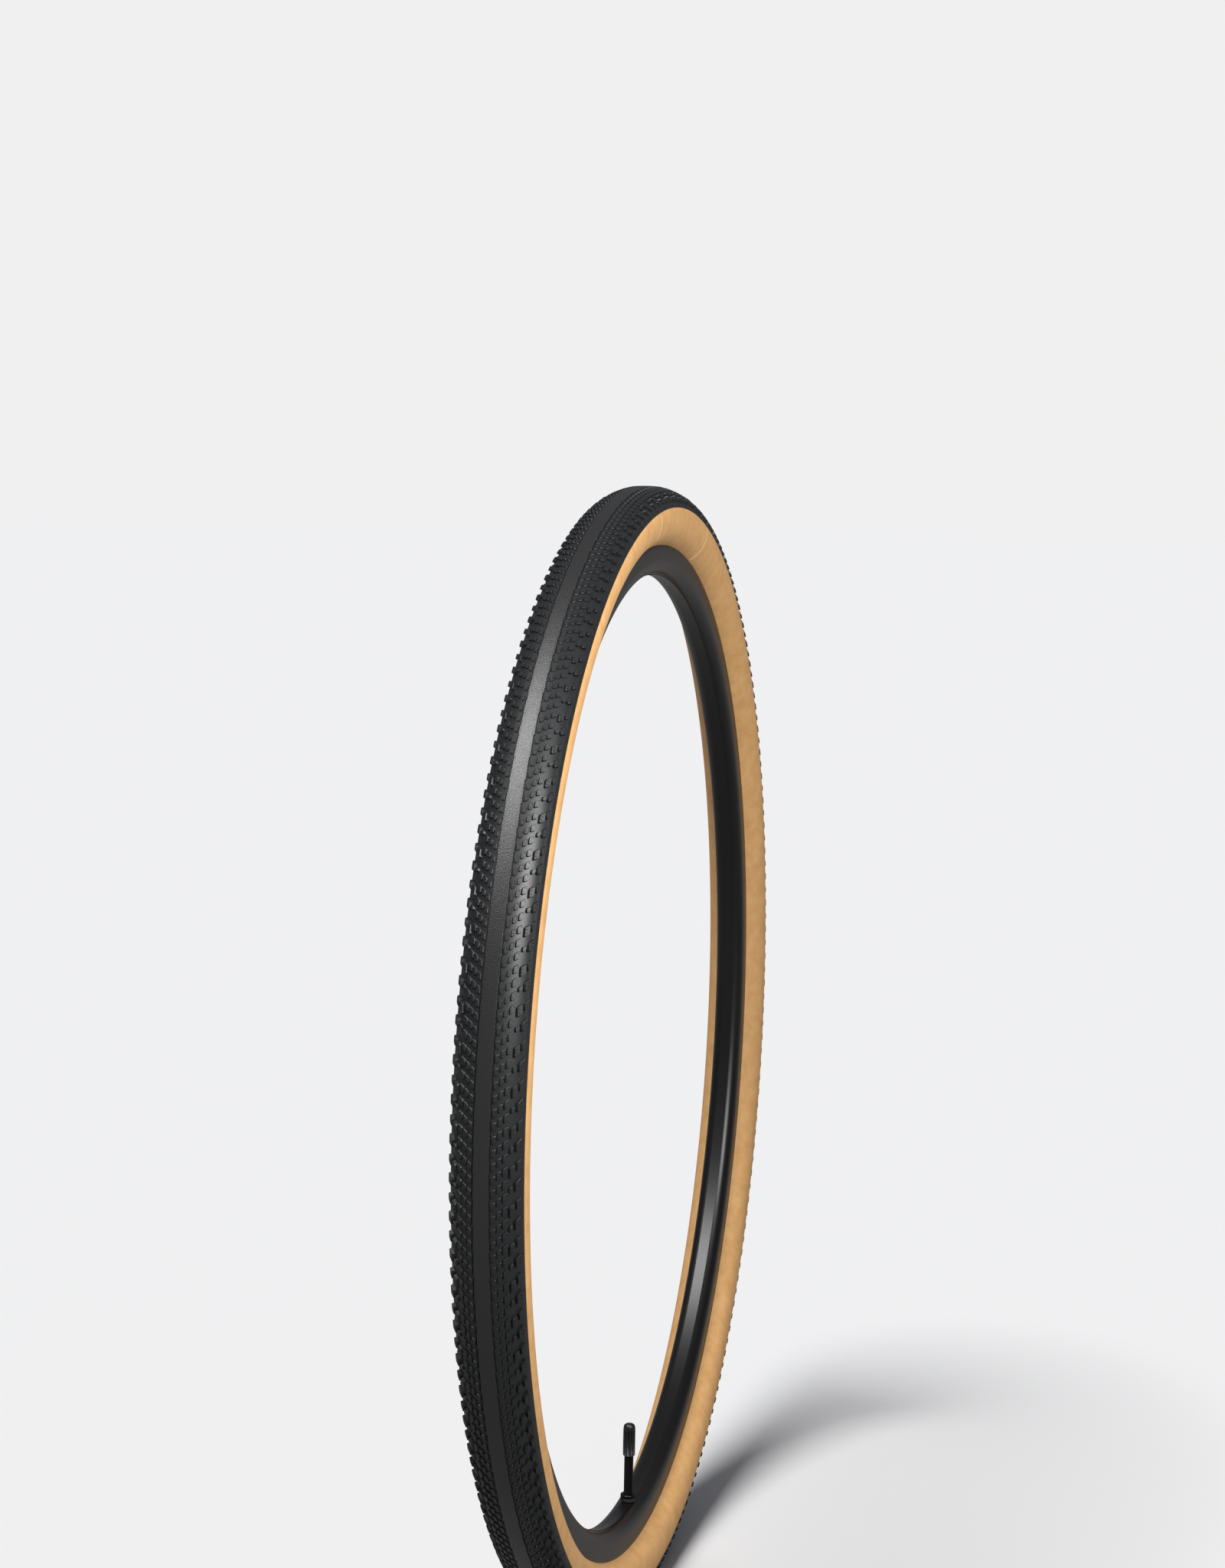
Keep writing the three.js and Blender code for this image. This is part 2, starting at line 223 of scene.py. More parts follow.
def cords(material, angles, spacing, lean=1.0):
    """Ridges from 0 to 1 that cross the tyre at 45 degrees, a spacing in mm apart."""
    turn, bend = angles
    around = round(2 * pi * CASING_CENTRE / (spacing * sqrt(2)))
    across = lean * 2 * pi * CASING_RADIUS / (spacing * sqrt(2))
    first = add(material, "Math", {0: turn, 1: float(around)}, operation="MULTIPLY")
    both = add(
        material, "Math", {0: bend, 1: across, 2: first.outputs[0]}, operation="MULTIPLY_ADD",
    )
    wave = add(material, "Math", {0: both.outputs[0]}, operation="SINE")
    return add(
        material, "MapRange", {"Value": wave.outputs[0], "From Min": -1.0},
    ).outputs["Result"]


def cord_cloth(name, colour, dark, roughness, spacing, depth, woven=False):
    """Cloth of cords laid one way, or woven with as many the other way."""
    made, shader = new_material(name, colour, roughness)
    angles = round_the_wheel(made)
    height = cords(made, angles, spacing)
    if woven:
        other = cords(made, angles, spacing, lean=-1.0)
        height = add(made, "Math", {0: height, 1: other}, operation="MAXIMUM").outputs[0]
    tint = add(made, "Mix", {
        "Factor": height, "A": srgb(dark), "B": srgb(colour),
    }, data_type="RGBA")
    made.node_tree.links.new(tint.outputs["Result"], shader.inputs["Base Color"])
    bump = add(made, "Bump", {"Height": height, "Strength": 1.0, "Distance": depth * MM})
    made.node_tree.links.new(bump.outputs["Normal"], shader.inputs["Normal"])
    return made


# Rubber-skimmed nylon cord is a waxy brown with its cords showing as close ridges. They are
# 0.4 mm apart, drawn 1 mm apart so that they show.
ply_cloth = cord_cloth("skimmed_nylon_cord_ply", "#8a6a44", "#5d4529", 0.75, 1.0, 0.08)

for name, radius, leg in (("inner", 19.85, 4.25), ("outer", 20.35, 7.75)):
    ply = ring("ply_" + name, bead_to_bead(radius, 0.4, leg), smooth=60)
    ply.data.materials.append(ply_cloth)
    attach(ply, "wheel")
    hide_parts("casing_ply_" + name)


# --- Beads ---
# Each edge of the casing holds a core of stranded aramid, which keeps the tyre on its rim and
# lets it fold, and a soft rubber filler above it that eases the step up to the casing.

CORE_HEIGHT = 313.05
CORE_WIDTH = 5.8
CORE_RADIUS = 1.36

# Dipped aramid yarn is straw yellow with a silky twist.
aramid = cord_cloth("dipped_aramid_yarn", "#d8b24a", "#9a7726", 0.5, 0.9, 0.1)

for side, way in (("left", 1), ("right", -1)):
    bundle = [
        (way * CORE_WIDTH + CORE_RADIUS * cos(a), CORE_HEIGHT + CORE_RADIUS * sin(a))
        for a in [2 * pi * i / 16 for i in range(16)]
    ]
    core = ring("bead_core_yarn_" + side, bundle)
    core.data.materials.append(aramid)
    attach(core, "wheel")
    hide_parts("bead_core_" + side)

    wedge = [(4.35, 314.6), (4.4, 315.3), (5.8, 315.65), (7.15, 315.95), (7.25, 314.6)]
    filler = ring("bead_wedge_" + side, [(way * y, r) for y, r in wedge])
    filler.data.materials.append(butyl)
    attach(filler, "wheel")
    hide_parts("bead_filler_" + side)


# --- Puncture breaker ---
# A ply of tightly woven aramid over the crown, laid on the casing under the tread, that
# stops thorns and glass.

# The square weave shows as crossing yellow yarns. They are drawn 1.2 mm apart.
breaker_cloth = cord_cloth(
    "woven_aramid_breaker", "#c9a648", "#86691f", 0.7, 1.2, 0.08, woven=True,
)

breaker = ring("breaker", arc(20.85, -45, 45) + arc(20.45, 45, -45), smooth=60)
breaker.data.materials.append(breaker_cloth)
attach(breaker, "wheel")
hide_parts("puncture_breaker")


# --- Chafers ---
# A narrow strip of black woven nylon wrapped round each bead, which guards the casing from
# the rim.

# Tight black nylon looks like fine dull cloth. Its yarns are drawn 0.8 mm apart.
chafer_cloth = cord_cloth(
    "woven_nylon_chafer", "#2c2c2d", "#141415", 0.85, 0.8, 0.05, woven=True,
)

for side, way in (("left", 1), ("right", -1)):
    wrap = [
        (8.3, 315.3), (8.15, 315.45), (7.85, 315.45), (7.85, 311.6), (7.7, 311.45),
        (3.5, 311.45), (3.35, 311.3), (3.35, 311.0), (8.0, 311.0), (8.3, 311.25),
    ]
    chafer = ring("chafer_wrap_" + side, [(way * y, r) for y, r in wrap])
    chafer.data.materials.append(chafer_cloth)
    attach(chafer, "wheel")
    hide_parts("chafer_" + side)


# --- Sidewalls ---
# A thin skin of gum-coloured rubber over the casing on each side, from under the tread's edge
# down to the rim. Where the casing's ends are lapped, it shows raised lines.

SKIN = 20.66
CORD_PRINT = 0.9
LAP_HALF = 0.7          # from a lap's crest to its foot, along the wheel
LAP_FOOT = 0.993        # the foot's width as a share of the crest's


def join(objects):
    """Makes one object of several, under the name of the first."""
    bpy.ops.object.select_all(action="DESELECT")
    for one in objects:
        one.select_set(True)
    bpy.context.view_layer.objects.active = objects[0]
    bpy.ops.object.join()
    return objects[0]


# Gum rubber is a warm tan with a dull skin, and is a little blotched. The cords of the casing
# print through it. They are 0.4 mm apart, drawn 0.9 mm apart so that they show.
gum, gum_shader = new_material("moulded_gum_rubber", "#d9a562", 0.62, Specular_IOR_Level=0.35)
angles = round_the_wheel(gum)
printed = add(gum, "Math", {
    0: cords(gum, angles, CORD_PRINT), 1: cords(gum, angles, CORD_PRINT, lean=-1.0),
}, operation="ADD").outputs[0]
blotch = add(gum, "TexNoise", {
    "Vector": add(gum, "TexCoord", {}).outputs["Object"],
    "Scale": 1 / (9 * MM), "Detail": 4.0, "Roughness": 0.6,
})
share = add(gum, "MapRange", {
    "Value": blotch.outputs["Fac"], "From Min": 0.3, "From Max": 0.7,
})
tint = add(gum, "Mix", {
    "Factor": share.outputs["Result"], "A": srgb("#cf9d62"), "B": srgb("#dfaf75"),
}, data_type="RGBA")
gum.node_tree.links.new(tint.outputs["Result"], gum_shader.inputs["Base Color"])
height = add(gum, "Math", {
    0: blotch.outputs["Fac"], 1: 3.0, 2: printed,
}, operation="MULTIPLY_ADD")
bump = add(gum, "Bump", {
    "Height": height.outputs[0], "Strength": 1.0, "Distance": 0.012 * MM,
})
gum.node_tree.links.new(bump.outputs["Normal"], gum_shader.inputs["Normal"])

# Each lap is a low roof-shaped line down the side: where it is round the wheel, and the
# angles round the section where it starts and ends.
LAPS = ((-8.0, 80, 126), (15.3, 77, 150))

sidewalls = {}
for side, way in (("left", 1), ("right", -1)):
    skin = arc(SKIN, 73.1, 156, step=3) + arc(20.45, 156, 73.1, step=8)
    wall = ring("sidewall_skin_" + side, [(way * y, r) for y, r in skin], smooth=60)
    wall.data.materials.append(gum)
    sidewalls[side] = wall

# The laps stand proud, and their gum is coloured paler than the rest.
pale_lap_gum, pale_lap_shader = new_material("pale_lap_gum_rubber", "#efcb95", 0.55)
grain(pale_lap_gum, pale_lap_shader, 1.0, 0.02)

for turn, start, stop in LAPS:
    crest = arc(20.8, start, stop, step=2)
    draw(section([(-y, r) for y, r in crest + arc(20.5, stop, start, step=2)]))
    for end in (LAP_HALF, -LAP_HALF):
        pick(lambda place: place.x < 0.1 * MM)
        bpy.ops.mesh.extrude_region_move(TRANSFORM_OT_translate={"value": (end * MM, 0, 0)})
        bpy.ops.transform.resize(
            value=(1, LAP_FOOT, 1), center_override=(0, 0, CASING_CENTRE * MM),
        )
    for end in (-LAP_HALF, LAP_HALF):
        pick(lambda place: abs(place.x - end * MM) < 0.1 * MM)
        bpy.ops.mesh.edge_face_add()
    bpy.ops.mesh.select_all(action="SELECT")
    bpy.ops.transform.rotate(
        value=-radians(turn), orient_axis="Y", center_override=(0, 0, 0),
    )
    lap = close("lap")
    lap.data.materials.append(pale_lap_gum)
    join([sidewalls["right"], lap])

for side, wall in sidewalls.items():
    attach(wall, "wheel")
    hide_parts("sidewall_" + side)


# --- Tread shoulders ---
# On each side of the centre strip the tread rubber is a thin band with rows of small knobs
# moulded on it, which grow taller towards the edge. They lean into a V over the crown.

TREAD_CENTRE = 336.45   # radius of the line that the tread's section is drawn round
CROWN = 356.7           # before it is flattened. Lengths round the wheel are taken there
FLOOR = 19.95           # the band between the knobs, from the tread's own centre
EDGE_BAND = 20.23
ROOT = 19.75            # where the knobs start, inside the band
TIP_CHAMFER = 0.15
JOGS = 159              # steps in the edge of the centre strip
ROWS = 318              # rows of small inner knobs
GROUPS = 106            # groups of outer blocks
ROW_PHASE = -2.6        # where the first row starts, round the crown
JOG_PHASE = 3.3
JOG_FLATS = 5           # flats along the slope after each step
WIDE, NARROW = 4.5, 4.05
GROOVE = 0.5
UNDERSIDE = 20.95       # of the bands, on the breaker

JOG_PITCH = 360 / JOGS
JOG_LENGTH = degrees(0.3 / CROWN)
SLOPE = range(JOG_FLATS + 1)
STATIONS = [0, *[JOG_LENGTH + (JOG_PITCH - JOG_LENGTH) * i / JOG_FLATS for i in SLOPE]]
HALF_WIDTHS = [NARROW, *[WIDE + (NARROW - WIDE) * i / JOG_FLATS for i in SLOPE]]


def spin_stations():
    """Sweeps the drawn section through one pitch of the strip's stepped edge."""
    bpy.ops.mesh.spin(
        steps=1, angle=radians(JOG_LENGTH), center=(0, 0, 0), axis=(0, -1, 0),
    )
    bpy.ops.mesh.spin(
        steps=JOG_FLATS, angle=radians(JOG_PITCH - JOG_LENGTH), center=(0, 0, 0),
        axis=(0, -1, 0),
    )


def repeat(count):
    """Copies all of the mesh round the wheel until there are count of it."""
    bpy.ops.mesh.select_all(action="SELECT")
    bpy.ops.mesh.spin(
        steps=count - 1, dupli=True, angle=2 * pi * (count - 1) / count,
        center=(0, 0, 0), axis=(0, -1, 0),
    )
    bpy.ops.mesh.select_all(action="SELECT")


def turn_by(length):
    """Turns the selection round the wheel by a length at the crown."""
    bpy.ops.transform.rotate(
        value=-length / CROWN, orient_axis="Y", center_override=(0, 0, 0),
    )


def at_station(place, station):
    """Whether a place is at one of the angles of the stepped edge."""
    turn = degrees(asin(place.x / sqrt(place.x ** 2 + place.z ** 2)))
    return abs(turn - station) < 0.02


def tread_point(radius, angle):
    """A section point of the right shoulder, by angle in degrees from the crown."""
    turn = radians(angle)
    return (-radius * sin(turn), TREAD_CENTRE + radius * cos(turn))


def under(radius, width):
    """The radius from the axle of a casing layer at a width."""
    return CASING_CENTRE + sqrt(radius ** 2 - width ** 2)


def band():
    """The band of the right shoulder, from the groove beside the strip to the tan sidewall."""
    lip = NARROW + GROOVE
    top = [16, 20, 25, 30, 35, 40, 45, 50, 55, 60, 63.5]
    edge = [66, 69, 72, 75, 76.4]
    outline = [
        (-NARROW - 0.04, under(UNDERSIDE, NARROW)),
        (-NARROW - 0.04, under(UNDERSIDE, NARROW) + 0.12),
        (-lip, under(UNDERSIDE, lip) + 0.12), (-lip, tread_point(FLOOR, 12.9)[1] - 0.08),
        (-lip - 0.08, tread_point(FLOOR, 13.1)[1]),
        *[tread_point(FLOOR, angle) for angle in top],
        *[tread_point(EDGE_BAND, angle) for angle in edge],
        tread_point(EDGE_BAND - 0.1, 76.9),
        *[(-y, r) for y, r in arc(20.47, 72.6, 48, step=8)],
        *[(-y, r) for y, r in arc(UNDERSIDE, 46, 18, step=7)],
    ]
    draw(section(outline))
    spin_stations()
    for station, half in zip(STATIONS, HALF_WIDTHS):
        pick(lambda place: place.y > -(lip + 0.2) * MM and at_station(place, station))
        wider = (half - NARROW) * MM
        bpy.ops.transform.translate(value=(0, -wider, -0.2 * wider))
    bpy.ops.mesh.select_all(action="SELECT")
    turn_by(JOG_PHASE)
    repeat(JOGS)
    return close("shoulder_right", 30)


def cut_away(piece, tool):
    """Takes the shape of the tool out of the piece."""
    bpy.ops.object.select_all(action="DESELECT")
    piece.select_set(True)
    bpy.context.view_layer.objects.active = piece
    cut = piece.modifiers.new("cut", "BOOLEAN")
    cut.object = tool
    bpy.ops.object.modifier_apply(modifier="cut")
    bpy.data.objects.remove(tool)


def knob(corners, tip, pits=(), sipes=(), corner=0.65):
    """One knob at its place. Corners, pits and sipes are given as (angle round the section,
    length round the crown), and the knob is modelled flat on the crown and then turned."""
    angle = sum(a for a, _ in corners) / len(corners)
    length = sum(t for _, t in corners) / len(corners)
    shrink = (TREAD_CENTRE + tip * cos(radians(angle))) / CROWN

    def flat(a, t, height):
        return ((t - length) * shrink, -radians(a - angle) * tip, TREAD_CENTRE + height)

    draw([flat(a, t, ROOT) for a, t in corners])
    bpy.ops.mesh.edge_face_add()
    bpy.ops.mesh.bevel(offset=corner * MM, segments=1, affect="VERTICES")
    bpy.ops.mesh.select_all(action="SELECT")
    centre = Vector((0, 0, TREAD_CENTRE + tip)) * MM
    for rise, draft in ((tip - ROOT - TIP_CHAMFER, 0.89), (TIP_CHAMFER, 0.91)):
        bpy.ops.mesh.extrude_region_move(TRANSFORM_OT_translate={"value": (0, 0, rise * MM)})
        bpy.ops.transform.resize(value=(draft, draft, 1), center_override=centre)
    shape = close("knob", 20)
    holes = [(flat(a, t, tip), (0.3, 0.3)) for a, t in pits]
    holes += [(flat(a, t, tip), (0.3, 0.8)) for a, t in sipes]
    for place, (along, across) in holes:
        bpy.ops.object.select_all(action="DESELECT")
        bpy.ops.mesh.primitive_cylinder_add(
            vertices=6, radius=MM, depth=0.8 * MM, location=Vector(place) * MM,
        )
        bpy.ops.transform.resize(value=(along, across, 1))
        cut_away(shape, bpy.context.object)
    bpy.ops.object.select_all(action="DESELECT")
    shape.select_set(True)
    bpy.ops.object.mode_set(mode="EDIT")
    bpy.ops.mesh.select_all(action="SELECT")
    bpy.ops.transform.rotate(
        value=-radians(angle), orient_axis="X", center_override=(0, 0, TREAD_CENTRE * MM),
    )
    bpy.ops.transform.resize(
        value=(1, 1, FLATTENING), center_override=(0, 0, CASING_CENTRE * MM),
    )
    turn_by(length + ROW_PHASE)
    bpy.ops.object.mode_set(mode="OBJECT")
    return shape


inner_row = join([
    knob([(14.8, 0), (21.6, 1.3), (21.6, 5.6), (14.8, 4.2)], 20.8,
         pits=[(16.6, 1.5), (19.4, 3.3)]),
    knob([(23.3, 2.6), (30.3, 4.0), (30.3, 8.2), (23.3, 6.6)], 21.0,
         pits=[(25.7, 4.6), (28.4, 6.6)]),
    knob([(31.7, 4.5), (40.0, 6.1), (40.0, 10.6), (31.7, 8.6)], 21.2,
         pits=[(34.0, 6.4), (37.6, 8.6)]),
])
bpy.ops.object.mode_set(mode="EDIT")
repeat(ROWS)
bpy.ops.object.mode_set(mode="OBJECT")

outer_group = join([
    knob([(42.1, 2.6), (48.8, 3.8), (48.8, 6.7), (42.1, 5.3)], 21.6),
    knob([(51.8, 3.2), (63.0, 5.3), (63.0, 11.3), (51.8, 8.0)], 21.9,
         sipes=[(58.6, 6.2), (58.6, 8.2)]),
    knob([(42.6, 10.4), (51.9, 12.5), (51.9, 18.4), (42.6, 16.1)], 21.7,
         sipes=[(45.2, 12.9), (45.2, 14.9)]),
    knob([(54.3, 14.2), (63.0, 16.5), (63.0, 21.4), (54.3, 18.9)], 21.9),
    knob([(70.4, 8.6), (73.4, 9.2), (73.4, 10.0), (70.4, 9.4)], 20.5, corner=0.15),
])
bpy.ops.object.mode_set(mode="EDIT")
repeat(GROUPS)
bpy.ops.object.mode_set(mode="OBJECT")

right_shoulder = join([band(), inner_row, outer_group])
bpy.ops.object.select_all(action="DESELECT")
right_shoulder.select_set(True)
bpy.ops.object.duplicate()
left_shoulder = bpy.context.object
left_shoulder.name = "shoulder_left"
bpy.ops.object.mode_set(mode="EDIT")
bpy.ops.mesh.select_all(action="SELECT")
bpy.ops.transform.resize(value=(1, -1, 1), center_override=(0, 0, 0))
bpy.ops.mesh.normals_make_consistent(inside=False)
bpy.ops.object.mode_set(mode="OBJECT")

# Tread rubber is filled with carbon black. It is cured against a spark-eroded mould, which
# gives it a dull, finely pebbled skin.
tread_rubber, tread_shader = new_material(
    "moulded_tread_rubber", "#1c1d1e", 0.42, Specular_IOR_Level=0.5,
)
grain(tread_rubber, tread_shader, 0.6, 0.03)

for side, shoulder in (("left", left_shoulder), ("right", right_shoulder)):
    shoulder.data.materials.append(tread_rubber)
    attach(shoulder, "wheel")
    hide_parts("tread_shoulder_" + side)


# --- Centre strip ---
# The smooth middle of the tread, which rolls on hard ground. It stands a little above the
# shoulders behind a narrow groove, and its edges step in and out like a fine saw.

STRIP_ARC = 60.0        # radius of the crown across the strip
STRIP_UNDERSIDE = 20.97


def crown(width):
    """The radius from the axle of the strip's face at a width, before it is flattened."""
    return CROWN - STRIP_ARC + sqrt(STRIP_ARC ** 2 - width ** 2)


widths = [-3.6, -2.7, -1.8, -0.9, 0, 0.9, 1.8, 2.7, 3.6]
draw(section([
    (-NARROW - 0.03, under(STRIP_UNDERSIDE, NARROW)),
    (-NARROW, crown(NARROW) - 0.12), (-NARROW + 0.1, crown(NARROW)),
    *[(y, crown(y)) for y in widths],
    (NARROW - 0.1, crown(NARROW)), (NARROW, crown(NARROW) - 0.12),
    (NARROW + 0.03, under(STRIP_UNDERSIDE, NARROW)),
    *[(y, under(STRIP_UNDERSIDE, y)) for y in (2, 0, -2)],
]))
spin_stations()
for station, half in zip(STATIONS, HALF_WIDTHS):
    for way in (1, -1):
        pick(lambda place: way * place.y > 3.8 * MM and at_station(place, station))
        wider = (half - NARROW) * MM
        bpy.ops.transform.translate(value=(0, way * wider, -0.2 * wider))
bpy.ops.mesh.select_all(action="SELECT")
turn_by(JOG_PHASE)
repeat(JOGS)
strip = close("centre_strip", 25)

# The strip's rubber is harder and a touch greyer, with a coarse pebbled skin of 0.55 mm
# grain that sparkles where the light grazes it.
strip_rubber, strip_shader = new_material(
    "stippled_strip_rubber", "#202020", 0.36, Specular_IOR_Level=0.6,
)
grain(strip_rubber, strip_shader, 0.55, 0.13, rough=0.4)

strip.data.materials.append(strip_rubber)
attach(strip, "wheel")
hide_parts("tread_centre_strip")


# --- Rim ---
# A hollow hoop of aluminium alloy, extruded, bent and welded, with a channel down its middle,
# a shelf and a hooked flange for each bead, and a rounded inner side. It is anodised black.


def rounded_side(half, depth, steps):
    """The rounded inner side of the hoop, from its flat side to its flat bottom."""
    turns = [pi / 2 * i / steps for i in range(steps)]
    return [(half * cos(a) ** (1 / 1.3), 308 - depth * sin(a) ** (1 / 1.3)) for a in turns]


half_section = [
    (0, 307.4), (4.2, 307.4), (4.7, 307.6), (5.4, 310.2), (5.8, 310.5), (8.2, 310.5),
    (8.4, 310.7), (8.4, 315.2), (8.7, 315.9), (9.2, 316.28), (9.6, 316.25), (9.9, 315.95),
    (9.95, 315.5), (9.95, 313), (9.95, 310), *rounded_side(9.95, 10.2, 16), (3.6, 297.8),
    (0, 297.8),
]
half_cavity = [
    (0, 305.9), (5.3, 305.9), (6.4, 309.0), (8.45, 309.0),
    *rounded_side(8.45, 8.7, 10), (2.9, 299.3), (0, 299.3),
]


def whole(half):
    """Both halves of a section that is the same to the left and the right."""
    return half + [(-y, r) for y, r in half[-2:0:-1]]


def drill_valve_hole(piece):
    """Cuts the valve hole, 6.5 mm across, through a piece at the bottom of the wheel."""
    bpy.ops.object.select_all(action="DESELECT")
    bpy.ops.mesh.primitive_cylinder_add(
        vertices=48, radius=3.25 * MM, depth=24 * MM, location=(0, 0, -305 * MM),
    )
    cut_away(piece, bpy.context.object)


hoop = ring("hoop", whole(half_section), smooth=40)
cut_away(hoop, ring("cavity", whole(half_cavity), smooth=40))
drill_valve_hole(hoop)

# Anodised alloy is a deep satin black that takes soft, broad reflections, with a trace of the
# grain of its polishing.
black_alloy, alloy_shader = new_material(
    "black_anodised_aluminium", "#0b0b0c", 0.34, Specular_IOR_Level=0.4,
)
grain(black_alloy, alloy_shader, 0.8, 0.003)

hoop.data.materials.append(black_alloy)
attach(hoop, "wheel")
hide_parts("rim_hoop")


# --- Rim tape ---
# A strong film with a sticky back, pulled tight round the bed of the rim, which closes it so
# that it holds air.

half_tape = [
    (0, 307.5), (4.15, 307.5), (4.6, 307.7), (5.35, 310.3), (5.75, 310.6), (8.2, 310.6),
    (8.2, 310.88), (5.6, 310.88), (5.15, 310.6), (4.35, 307.8), (4.1, 307.8), (0, 307.8),
]
tape = ring("tape", whole(half_tape), around=159)
drill_valve_hole(tape)

# The film is a glossy mustard yellow, with small creases from being stretched on.
film, film_shader = new_material("polyimide_tape", "#d2b436", 0.25, Coat_Weight=0.3)
grain(film, film_shader, 6.0, 0.08)

tape.data.materials.append(film)
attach(tape, "wheel")
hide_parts("rim_tape")


# --- Valve stem and its grommet ---
# A presta valve for tubeless tyres: a threaded alloy tube whose foot sits on a rubber
# grommet in the rim's channel, and which comes out through the rim's inner side.


def turned(name, outline, around=48, smooth=30):
    """A piece turned round the valve's axis, from its section as (radius, height) in mm."""
    draw([(radius, 0, height) for radius, height in outline])
    bpy.ops.mesh.spin(steps=around, angle=2 * pi, center=(0, 0, 0), axis=(0, 0, 1))
    return close(name, smooth)


def thread(radius, depth, pitch, start, stop):
    """A raised thread: its section is drawn and swept in a screw round the valve's axis."""
    low, top = radius - depth - 0.05, radius
    draw([
        (low, 0, start - 0.42 * pitch), (top, 0, start - 0.08 * pitch),
        (top, 0, start + 0.08 * pitch), (low, 0, start + 0.42 * pitch),
    ])
    bpy.ops.object.mode_set(mode="OBJECT")
    shape = bpy.context.object
    sweep = shape.modifiers.new("sweep", "SCREW")
    sweep.angle = 2 * pi
    sweep.screw_offset = pitch * MM
    sweep.iterations = int((stop - start) / pitch)
    sweep.steps = sweep.render_steps = 24
    sweep.use_merge_vertices = True
    sweep.merge_threshold = 0.001 * MM
    bpy.ops.object.modifier_apply(modifier="sweep")
    bpy.ops.object.mode_set(mode="EDIT")
    bpy.ops.mesh.select_all(action="SELECT")
    bpy.ops.mesh.remove_doubles(threshold=0.001 * MM)
    bpy.ops.mesh.select_all(action="DESELECT")
    bpy.ops.mesh.select_non_manifold()
    bpy.ops.mesh.fill()
    return close("thread", 30)


grommet = turned("grommet", [
    (3.1, -309.6), (3.95, -309.6), (4.15, -309.45), (4.2, -308.4), (3.9, -307.95),
    (3.1, -307.9),
])
grommet.data.materials.append(butyl)
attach(grommet, "wheel")
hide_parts("valve_grommet")

# Black anodising on turned alloy: darker and glossier than the rim, bright on the crests of
# the thread.
valve_alloy, valve_shader = new_material(
    "black_anodised_valve_alloy", "#151516", 0.28, Metallic=0.6,
)
grain(valve_alloy, valve_shader, 0.3, 0.004)

tube = turned("stem_tube", [
    (1.3, -310.5), (3.5, -310.5), (3.85, -310.3), (3.9, -309.9), (3.7, -309.7),
    (2.96, -309.7), (2.96, -299), (2.62, -298.6), (2.62, -262.4), (2.35, -262),
    (2.2, -262.1), (2.2, -276), (1.3, -276),
])
stem = join([tube, thread(3.0, 0.36, 0.8, -297.9, -263.4)])
stem.data.materials.append(valve_alloy)
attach(stem, "wheel")
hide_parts("valve_stem")


# --- Lock nut and its O-ring ---
# A round knurled nut of black alloy runs down the stem's thread. It squeezes a rubber ring
# against the rim, and is done up with the fingers.

CORD = 0.7              # radius of the ring's own section
o_ring = turned("nut_seal", [
    (3.875 + CORD * cos(a), -297.0 + CORD * sin(a))
    for a in [2 * pi * i / 14 for i in range(14)]
], smooth=60)
o_ring.data.materials.append(butyl)
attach(o_ring, "lock_nut")
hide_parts("valve_o_ring")


def knurl(piece, low, high, depth, teeth):
    """Sinks every other flat of a turned piece's rim between two heights."""
    bpy.ops.object.select_all(action="DESELECT")
    piece.select_set(True)
    bpy.context.view_layer.objects.active = piece
    bpy.ops.object.mode_set(mode="EDIT")
    bpy.ops.mesh.select_mode(type="FACE")
    bpy.ops.mesh.select_all(action="DESELECT")
    mesh = bmesh.from_edit_mesh(piece.data)
    reach = max(sqrt(v.co.x ** 2 + v.co.y ** 2) for v in mesh.verts)
    for face in mesh.faces:
        place = face.calc_center_median()
        turn = (Vector((place.x, place.y)).angle_signed(Vector((1, 0)), 0) / (2 * pi)) % 1
        outside = sqrt(place.x ** 2 + place.y ** 2) > 0.97 * reach
        level = low * MM < place.z < high * MM and abs(face.normal.z) < 0.1
        face.select_set(outside and level and int(turn * 2 * teeth) % 2 == 0)
    bpy.ops.mesh.inset(thickness=0.02 * MM, depth=-depth * MM, use_individual=True)
    bpy.ops.mesh.select_mode(type="VERT")
    bpy.ops.object.mode_set(mode="OBJECT")


nut = turned("knurled_nut", [
    (3.1, -296.2), (4.6, -296.2), (4.85, -296.05), (5.0, -295.8), (5.0, -293.1),
    (4.85, -292.85), (4.6, -292.7), (3.4, -292.7), (3.1, -293.0),
], around=64)
knurl(nut, -295.8, -293.1, 0.2, 32)
nut.data.materials.append(valve_alloy)
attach(nut, "lock_nut")
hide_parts("valve_lock_nut")


# --- Valve core, its pin and the tip nut ---
# The brass core screws into the stem. Its pin carries the seal, and the small nut on the tip
# is undone to let air past and done up to hold the pin shut.

# Turned brass is a soft yellow with fine bright tool marks.
brass, brass_shader = new_material("turned_brass", "#c9a65a", 0.26, Metallic=1.0)
grain(brass, brass_shader, 0.4, 0.004)

core_body = turned("core_barrel", [
    (1.05, -275.9), (1.9, -275.9), (2.1, -275.6), (2.1, -261.9), (2.45, -261.9),
    (2.6, -261.7), (2.6, -259.1), (2.3, -258.8), (1.9, -258.6), (1.9, -256.2),
    (1.7, -256.0), (1.05, -256.0),
], around=32)
core_body.data.materials.append(brass)
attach(core_body, "wheel")
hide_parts("valve_core_body")

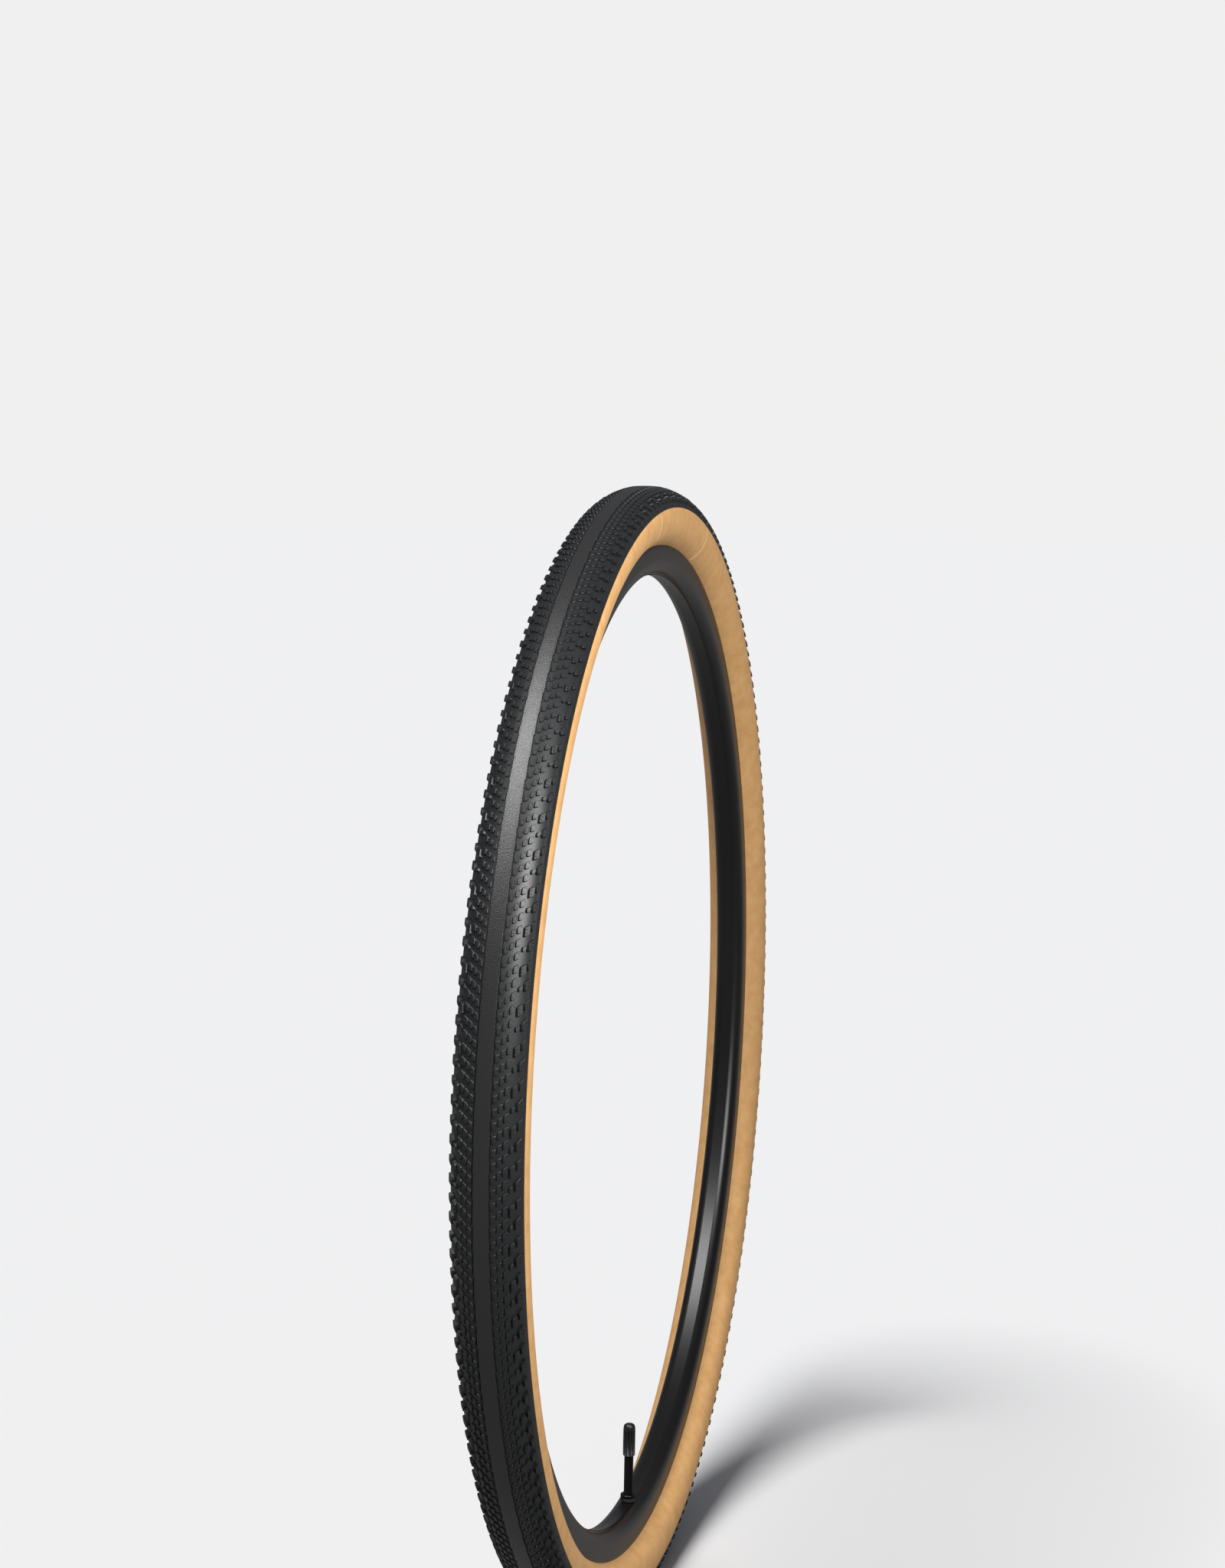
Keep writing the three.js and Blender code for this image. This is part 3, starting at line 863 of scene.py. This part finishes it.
pin = turned("core_needle", [
    (0, -278.5), (0.9, -278.5), (1.15, -278.2), (1.15, -276.6), (0.82, -276.3),
    (0.82, -258), (0.82, -249.8), (0.5, -249.4), (0, -249.4),
], around=20)
pin = join([pin, thread(0.85, 0.1, 0.45, -255.0, -250.4)])
pin.data.materials.append(brass)
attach(pin, "wheel")
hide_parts("valve_core_pin")

tip_nut = turned("tip_knob", [
    (0.95, -255.9), (1.7, -255.9), (2.1, -255.5), (2.1, -253.4), (1.7, -253.0),
    (0.95, -253.0),
], around=40)
knurl(tip_nut, -255.5, -253.4, 0.12, 20)
tip_nut.data.materials.append(brass)
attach(tip_nut, "tip_nut")
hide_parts("valve_tip_nut")


# --- Valve cap ---
# A small ribbed cap of black plastic pushed and screwed over the tip of the stem, to keep
# dirt out of the valve.

cap = turned("dust_cap", [
    (3.15, -267.0), (3.8, -267.0), (3.9, -266.85), (3.9, -250.5), (3.75, -248.4),
    (3.3, -247.2), (2.6, -246.6), (0, -246.5), (0, -247.7), (2.4, -247.8),
    (3.0, -248.6), (3.15, -250.0),
], around=48)
knurl(cap, -266.8, -250.6, 0.18, 12)

# Injection-moulded polypropylene: smooth and half glossy.
cap_plastic, cap_shader = new_material("moulded_polypropylene", "#121213", 0.38)
grain(cap_plastic, cap_shader, 0.5, 0.006)

cap.data.materials.append(cap_plastic)
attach(cap, "valve_cap")
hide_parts("valve_cap")


# --- Floor and light ---
# A plain pale floor under a pale sky, with a broad soft lamp overhead and a weaker one to the
# right of the tyre. The weaker one lights the tyre only, so that the floor stays even.

SUN_WAY = (-0.354, 0.263, 0.9)      # from the tyre towards each lamp
SIDE_WAY = (-0.6, -0.65, 0.45)

bpy.ops.object.select_all(action="DESELECT")
bpy.ops.mesh.primitive_circle_add(
    vertices=96, radius=60, fill_type="NGON", location=(0, 0, cad_box[0].z),
)
floor = bpy.context.object
floor.name = "floor"

# Matt paper is an even white. It throws back less light on the tyre than it shows.
paper, paper_shader = new_material("matt_white_paper", "#f7f7f7", 1.0, Specular_IOR_Level=0.0)
camera_ray = add(paper, "LightPath", {}).outputs["Is Camera Ray"]
shade = add(paper, "Mix", {
    "Factor": camera_ray, "A": srgb("#9a9a9a"), "B": srgb("#f7f7f7"),
}, data_type="RGBA")
paper.node_tree.links.new(shade.outputs["Result"], paper_shader.inputs["Base Color"])
floor.data.materials.append(paper)

# The sky that is seen is as pale as the floor, and the sky that lights the tyre is dimmer.
sky = bpy.data.worlds.new("sky")
sky.use_nodes = True
seen = sky.node_tree.nodes["Background"]
seen.inputs["Color"].default_value = srgb("#f0f0f0")
dim = add(sky, "Background", {"Color": srgb("#f4f6ff"), "Strength": 0.15})
which = add(sky, "LightPath", {})
mix = add(sky, "MixShader", {
    0: which.outputs["Is Camera Ray"], 1: dim.outputs[0], 2: seen.outputs[0],
})
sky.node_tree.links.new(
    mix.outputs[0], sky.node_tree.nodes["World Output"].inputs["Surface"],
)
bpy.context.scene.world = sky
bpy.context.scene.view_settings.view_transform = "Standard"

bpy.ops.object.light_add(type="SUN", location=(-1, 0.7, 2.6))
overhead = bpy.context.object
overhead.name = "overhead_lamp"
overhead.data.energy = 2.8
overhead.data.angle = radians(26)
overhead.rotation_euler = Vector(SUN_WAY).to_track_quat("Z", "Y").to_euler()

bpy.ops.object.light_add(type="AREA", location=(-0.7, -0.65, 0.6))
weaker = bpy.context.object
weaker.name = "side_lamp"
weaker.data.shape = "DISK"
weaker.data.size = 0.5
weaker.data.energy = 12.5
weaker.visible_camera = False
weaker.rotation_euler = Vector(SIDE_WAY).to_track_quat("Z", "Y").to_euler()
unlit = bpy.data.collections.new("unlit_by_side_lamp")
unlit.objects.link(floor)
weaker.light_linking.receiver_collection = unlit
unlit.collection_objects[0].light_linking.link_state = "EXCLUDE"
